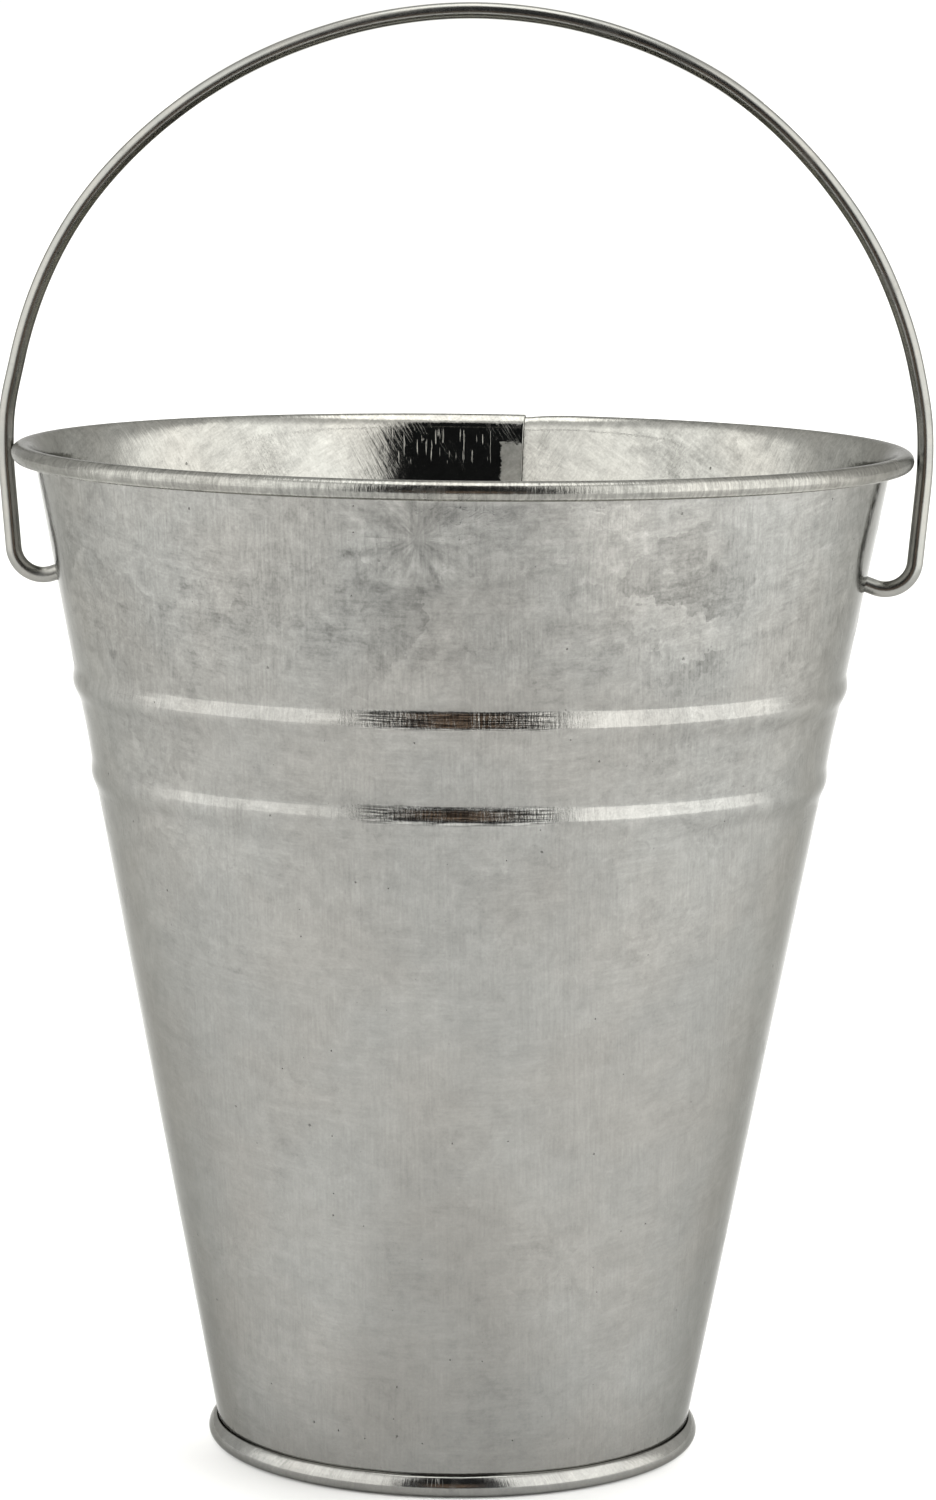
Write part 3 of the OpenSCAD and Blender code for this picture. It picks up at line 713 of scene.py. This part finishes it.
def sealant_material():
    m = bpy.data.materials.new("seam_sealant")
    m.use_nodes = True
    t = m.node_tree
    t.nodes.clear()
    out = add(t, "OutputMaterial")
    bsdf = add(t, "BsdfPrincipled", {"Metallic": 0.0})
    t.links.new(bsdf.outputs[0], out.inputs[0])
    P = add(t, "VectorMath", {0: add(t, "TexCoord").outputs["Object"], "Scale": 1000.0}, operation="SCALE").outputs[0]
    a = noise(t, P, 0.9, 4.0, 0.6, dims="3D")
    g = noise(t, P, 6.0, 2.0, 0.6, dims="3D")
    mix = add(t, "Mix", {"Factor": a}, data_type="RGBA")
    for sck in mix.inputs:
        if sck.type == "RGBA" and sck.name == "A":
            sck.default_value = (0.62, 0.58, 0.48, 1)
        if sck.type == "RGBA" and sck.name == "B":
            sck.default_value = (0.74, 0.71, 0.62, 1)
    t.links.new([o for o in mix.outputs if o.type == "RGBA"][0], bsdf.inputs["Base Color"])
    t.links.new(math_n(t, "MULTIPLY_ADD", g, 0.25, 0.4), bsdf.inputs["Roughness"])
    b = add(t, "Bump", {"Height": a, "Distance": 120e-6, "Strength": 1.0})
    b = add(t, "Bump", {"Height": g, "Distance": 12e-6, "Strength": 1.0, "Normal": b.outputs[0]})
    t.links.new(b.outputs[0], bsdf.inputs["Normal"])
    return m


def seam_marks(t, lum):
    """Dull stripe of flux along the inner edge of the seam, with a ragged border, below the flare."""
    W = uv_mm(t, "wrap")
    xyz = add(t, "SeparateXYZ", {0: W})
    rag = noise(t, vscale(t, W, (0.7, 1.7, 1)), 1.0, 5.0, 0.75)
    edge = math_n(t, "ADD", xyz.outputs[0], math_n(t, "MULTIPLY", math_n(t, "SUBTRACT", rag, 0.5), 1.6))
    in_u = math_n(t, "SUBTRACT", 1.0, ramp(t, edge, 3.3, 3.5))
    in_v = math_n(t, "SUBTRACT", 1.0, ramp(t, math_n(t, "ADD", xyz.outputs[1], math_n(t, "MULTIPLY", math_n(t, "SUBTRACT", rag, 0.5), 2.5)), 144.4, 145.4))
    stripe = math_n(t, "MULTIPLY", in_u, in_v)
    lum = math_n(t, "MULTIPLY", lum, math_n(t, "MULTIPLY_ADD", stripe, 0.08, 1.0))
    return lum, math_n(t, "MULTIPLY", stripe, 0.44)


def lap_line(t, lum):
    """Outer edge of the lap: dirt caught against the step, a rubbed edge and a dull heat band on both sides."""
    W = uv_mm(t, "wrap")
    u = add(t, "SeparateXYZ", {0: W}).outputs[0]
    near, far = math.radians(LAP_A) * 62.0, math.radians(360 + LAP_A) * 62.0
    rag = noise(t, vscale(t, W, (1.2, 0.5, 1)), 1.0, 4.0, 0.7)
    d = math_n(t, "ABSOLUTE", math_n(t, "SUBTRACT", u, near + 0.22))
    dirt = math_n(t, "SUBTRACT", 1.0, ramp(t, math_n(t, "SUBTRACT", d, math_n(t, "MULTIPLY", rag, 0.35)), 0.02, 0.25))
    rub = ramp(t, u, far - 0.55, far - 0.2)
    band = math_n(t, "MULTIPLY", math_n(t, "SUBTRACT", 1.0, ramp(t, math_n(t, "ADD", u, math_n(t, "MULTIPLY", rag, 2.0)), near + 2.5, near + 5.0)), 1.0)
    band = math_n(t, "MAXIMUM", band, ramp(t, math_n(t, "SUBTRACT", u, math_n(t, "MULTIPLY", rag, 2.0)), far - 6.0, far - 3.5))
    lum = math_n(t, "MULTIPLY", lum, math_n(t, "MULTIPLY_ADD", dirt, -0.62, 1.0))
    lum = math_n(t, "MULTIPLY", lum, math_n(t, "MULTIPLY_ADD", rub, 0.40, 1.0))
    lum = math_n(t, "MULTIPLY", lum, math_n(t, "MULTIPLY_ADD", band, -0.10, 1.0))
    return lum, math_n(t, "MULTIPLY", band, 0.16)


_, wall_s, _n = along(wall_path())
ROLL_FROM = float(wall_s[-31])
BEAD_S = [float(np.interp(z + BEAD_W / 4, _[:130, 1], wall_s[:130])) for z, _h in BEADS]
zinc_out = galvanised("zinc_outside", 0.278, 0.10, 1.0, bright_at=(900.3, 541), puckers=BEAD_S, marks=lap_line)
zinc_in = galvanised("zinc_inside", 0.277, 0.075, 2.0, spangle=0.7, streak=0.38, hair=0.4, leather=1.3, warm=(1.01, 1.0, 0.942), marks=seam_marks, inner=True, painted_deep_fill=(118.0, 133.0, 1.6), roll_from=ROLL_FROM)
zinc_pan = galvanised("zinc_base", 0.265, 0.15, 3.0, spangle=0.8, painted_deep_fill=(29.0, 31.0, 0.1))
wire = wire_material()

wall, path_s, path_p = make_wall(zinc_out, zinc_in)
pan = make_pan(zinc_pan)
bail = make_bail(wire)
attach(wall, "bucket")
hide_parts("bucket_body")
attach(pan, "bucket")
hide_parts("base_pan")
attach(bail, "bail")
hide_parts("bail_handle")
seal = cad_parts["base_seam_seal"]
seal.data.materials.clear()
seal.data.materials.append(sealant_material())

# ---------------------------------------------------------------- studio
def plain_material(name, colour, rough=0.9, emit=0.0):
    m = bpy.data.materials.new(name)
    m.use_nodes = True
    b = m.node_tree.nodes["Principled BSDF"]
    b.inputs["Base Color"].default_value = (*colour, 1)
    b.inputs["Roughness"].default_value = rough
    b.inputs["Specular IOR Level"].default_value = 0.2
    return m


def plane(name, w, h, mat, matrix):
    me = bpy.data.meshes.new(name)
    me.from_pydata([(-w / 2, -h / 2, 0), (w / 2, -h / 2, 0), (w / 2, h / 2, 0), (-w / 2, h / 2, 0)], [], [(0, 1, 2, 3)])
    me.materials.append(mat)
    ob = bpy.data.objects.new(name, me)
    scene.collection.objects.link(ob)
    ob.matrix_world = matrix
    return ob


floor_mat = plain_material("floor_white", (0.60, 0.60, 0.596))
floor_mat.node_tree.nodes["Principled BSDF"].inputs["Emission Color"].default_value = (1, 1, 0.985, 1)
floor_mat.node_tree.nodes["Principled BSDF"].inputs["Emission Strength"].default_value = 0.33
ft = floor_mat.node_tree
fo = add(ft, "SeparateXYZ", {0: add(ft, "TexCoord").outputs["Object"]})
# painted shade: the floor's glow is turned down in a patch just in front of the pail, a painted shadow that darkens the
# lower wall's reflection of the floor
near = math_n(ft, "MULTIPLY", math_n(ft, "SUBTRACT", 1.0, ramp(ft, math_n(ft, "MULTIPLY", fo.outputs[1], -1.0), 0.055, 0.15)),
              math_n(ft, "SUBTRACT", 1.0, ramp(ft, math_n(ft, "ABSOLUTE", fo.outputs[0]), 0.012, 0.055)))
near = math_n(ft, "MULTIPLY", near, ramp(ft, math_n(ft, "MULTIPLY", fo.outputs[1], -1.0), 0.0, 0.02))
fr = math_n(ft, "POWER", math_n(ft, "ADD", math_n(ft, "MULTIPLY", fo.outputs[0], fo.outputs[0]), math_n(ft, "MULTIPLY", fo.outputs[1], fo.outputs[1])), 0.5)
# painted light: the floor glows brighter in a ring close round the foot, washing out the pail's contact shadow
painted_foot_glow = math_n(ft, "MULTIPLY_ADD", ramp(ft, fr, 0.045, 0.11), -0.12, 0.12)
ft.links.new(math_n(ft, "MULTIPLY_ADD", near, -0.36, math_n(ft, "ADD", painted_foot_glow, 0.33)), ft.nodes["Principled BSDF"].inputs["Emission Strength"])
one_way = add(ft, "MixShader", {0: add(ft, "NewGeometry").outputs["Backfacing"]})
ft.links.new(ft.nodes["Principled BSDF"].outputs[0], one_way.inputs[1])
ft.links.new(add(ft, "BsdfTransparent").outputs[0], one_way.inputs[2])
ft.links.new(one_way.outputs[0], ft.nodes["Material Output"].inputs["Surface"])
floor = plane("floor", 40, 40, floor_mat, Matrix.Translation((0, 0, -0.00002)))
if scene.world is None:
    scene.world = bpy.data.worlds.new("world")
scene.world.use_nodes = True
wt = scene.world.node_tree
wt.nodes.clear()
wo = wt.nodes.new("ShaderNodeOutputWorld")
wb = wt.nodes.new("ShaderNodeBackground")
wt.links.new(wb.outputs[0], wo.inputs[0])


def around(az, dist, z):
    """A point seen from the pail at an azimuth from the camera's side, positive to the right."""
    a = -math.pi / 2 + TURN + math.radians(az)
    return Vector((dist * math.cos(a), dist * math.sin(a), z))


def facing(pos, target=Vector((0, 0, 0.1)), upright=True):
    d = target - pos
    if upright:
        d.z = 0
    return Matrix.Translation(pos) @ d.to_track_quat("-Z", "Y").to_matrix().to_4x4()


def area(name, pos, w, h, radiance, target=Vector((0, 0, 0.1)), colour=(1, 1, 1), upright=True):
    L = bpy.data.lights.new(name, "AREA")
    L.shape = "RECTANGLE"
    L.size, L.size_y = w, h
    L.energy = radiance * math.pi * w * h
    L.color = colour
    ob = bpy.data.objects.new(name, L)
    scene.collection.objects.link(ob)
    ob.matrix_world = facing(pos, target, upright)
    ob.visible_camera = False
    return ob


# soft studio surround: white all round, a broad soft light on each side, one overhead
d = wt.nodes.new("ShaderNodeTexCoord").outputs["Generated"]
sep = add(wt, "SeparateXYZ", {0: d})
flat_d = add(wt, "VectorMath", {0: vscale(wt, d, (1, 1, 0))}, operation="NORMALIZE").outputs[0]
ahead = around(0, 1, 0).normalized()
toward = add(wt, "VectorMath", {0: flat_d, 1: (ahead.x, ahead.y, 0)}, operation="DOT_PRODUCT").outputs["Value"]
light = math_n(wt, "MULTIPLY_ADD", ramp(wt, toward, -0.60, -0.25), 0.28, 1.06)
for az, gain, half in ((68, 1.36, 40), (-68, 1.12, 40)):
    a = around(az, 1, 0).normalized()
    dot = add(wt, "VectorMath", {0: flat_d, 1: (a.x, a.y, 0)}, operation="DOT_PRODUCT").outputs["Value"]
    lobe = ramp(wt, dot, dcos(half + 8), dcos(half - 10))
    lobe = math_n(wt, "MULTIPLY", lobe, math_n(wt, "SUBTRACT", 1.0, ramp(wt, sep.outputs[2], dsin(45), dsin(65))))
    light = math_n(wt, "MULTIPLY_ADD", lobe, gain, light)
light = math_n(wt, "MULTIPLY_ADD", ramp(wt, sep.outputs[2], dsin(67), dsin(72)), 2.6, light)
wt.links.new(light, wb.inputs[1])
wb.inputs[0].default_value = (1, 0.995, 0.97, 1)

key = area("key_right", around(75, 0.9, 0.6), 0.6, 0.6, 4.5, target=Vector((0.1, 0, 0)), upright=False)
key.visible_glossy = False
fill = area("fill_left", around(-58, 1.1, 0.8), 0.7, 0.7, 1.9, target=Vector((-0.05, -0.05, 0)), upright=False)
fill.visible_glossy = False

def glow(name, colour, strength, alpha):
    """Light-emitting surface whose colour, strength and opacity are built by the three functions from its nodes."""
    m = bpy.data.materials.new(name)
    m.use_nodes = True
    t = m.node_tree
    t.nodes.clear()
    out = add(t, "OutputMaterial")
    em = add(t, "Emission")
    tr = add(t, "BsdfTransparent")
    mix = add(t, "MixShader")
    for k, f in (("Color", colour), ("Strength", strength)):
        v = f(t)
        if isinstance(v, bpy.types.NodeSocket):
            t.links.new(v, em.inputs[k])
        else:
            em.inputs[k].default_value = v
    t.links.new(alpha(t), mix.inputs[0])
    t.links.new(tr.outputs[0], mix.inputs[1])
    t.links.new(em.outputs[0], mix.inputs[2])
    t.links.new(mix.outputs[0], out.inputs[0])
    return m


def side_panel(name, az0, az1, d0, d1, height, radiance):
    """A soft-edged bright panel standing on the floor, seen only in the metal."""
    n = 24
    rows = [around(az0 + (az1 - az0) * i / n, d0 + (d1 - d0) * i / n, 0) for i in range(n + 1)]
    verts = [(v.x, v.y, z) for v in rows for z in (0, height)]
    me = bpy.data.meshes.new(name)
    me.from_pydata(verts, [], [(2 * i, 2 * i + 1, 2 * i + 3, 2 * i + 2) for i in range(n)])
    uv = me.uv_layers.new(name="across")
    for loop in me.loops:
        uv.data[loop.index].uv = (loop.vertex_index // 2 / n, loop.vertex_index % 2)

    def alpha(t):
        u = add(t, "SeparateXYZ", {0: add(t, "UVMap", uv_map="across").outputs[0]})
        a_ = math_n(t, "MULTIPLY", ramp(t, u.outputs[0], 0.0, 0.16), math_n(t, "SUBTRACT", 1.0, ramp(t, u.outputs[0], 0.72, 1.0)))
        return math_n(t, "MULTIPLY", a_, ramp(t, u.outputs[1], 0.0, 0.16))

    me.materials.append(glow(name, lambda t: (1, 0.995, 0.97, 1), lambda t: radiance, alpha))
    ob = bpy.data.objects.new(name, me)
    scene.collection.objects.link(ob)
    return ob


def card_parts(t):
    o = add(t, "SeparateXYZ", {0: add(t, "TexCoord").outputs["Object"]})
    return math_n(t, "ABSOLUTE", o.outputs[0]), math_n(t, "ADD", o.outputs[1], 0.475), add(t, "TexCoord").outputs["Object"]


def card_colour(t):
    """A dim room behind the camera: nearly black above, a little warm light low in the middle."""
    x, z, P = card_parts(t)
    low = math_n(t, "SUBTRACT", 1.0, ramp(t, z, 0.13, 0.20))
    mid = math_n(t, "MULTIPLY", math_n(t, "SUBTRACT", 1.0, ramp(t, x, 0.02, 0.11)), low)
    mid = math_n(t, "MULTIPLY", mid, ramp(t, z, 0.02, 0.06))
    n1 = math_n(t, "MULTIPLY_ADD", ramp(t, noise(t, vscale(t, P, (1.0, 0.6, 1)), 60.0, 4.0, 0.65), 0.38, 0.62), 1.6, 0.12)
    mid = math_n(t, "MULTIPLY", mid, n1)
    base = math_n(t, "MULTIPLY_ADD", math_n(t, "MULTIPLY", low, n1), 0.07, 0.02)
    warm_ = add(t, "VectorMath", {0: (0.25, 0.145, 0.072), "Scale": mid}, operation="SCALE").outputs[0]
    cool = add(t, "VectorMath", {0: (0.95, 1.0, 1.05), "Scale": base}, operation="SCALE").outputs[0]
    return add(t, "VectorMath", {0: warm_, 1: cool}, operation="ADD").outputs[0]


def card_alpha(t):
    x, z, _ = card_parts(t)
    return math_n(t, "SUBTRACT", 1.0, ramp(t, x, 0.150, 0.185))


card = plane("dark_card", 0.40, 0.95, glow("card_dim", card_colour, lambda t: 1.0, card_alpha), facing(around(0, 0.37, 0.475)))
card.visible_camera = False
card.visible_transmission = False
card.visible_volume_scatter = False
for o in (side_panel("panel_right", 25, 112, 0.32, 0.50, 0.16, 2.75), side_panel("panel_left", -33, -106, 0.50, 0.54, 0.17, 2.20)):
    o.visible_camera = False
    o.visible_diffuse = False
    o.visible_shadow = False
    o.visible_transmission = False
    o.visible_volume_scatter = False
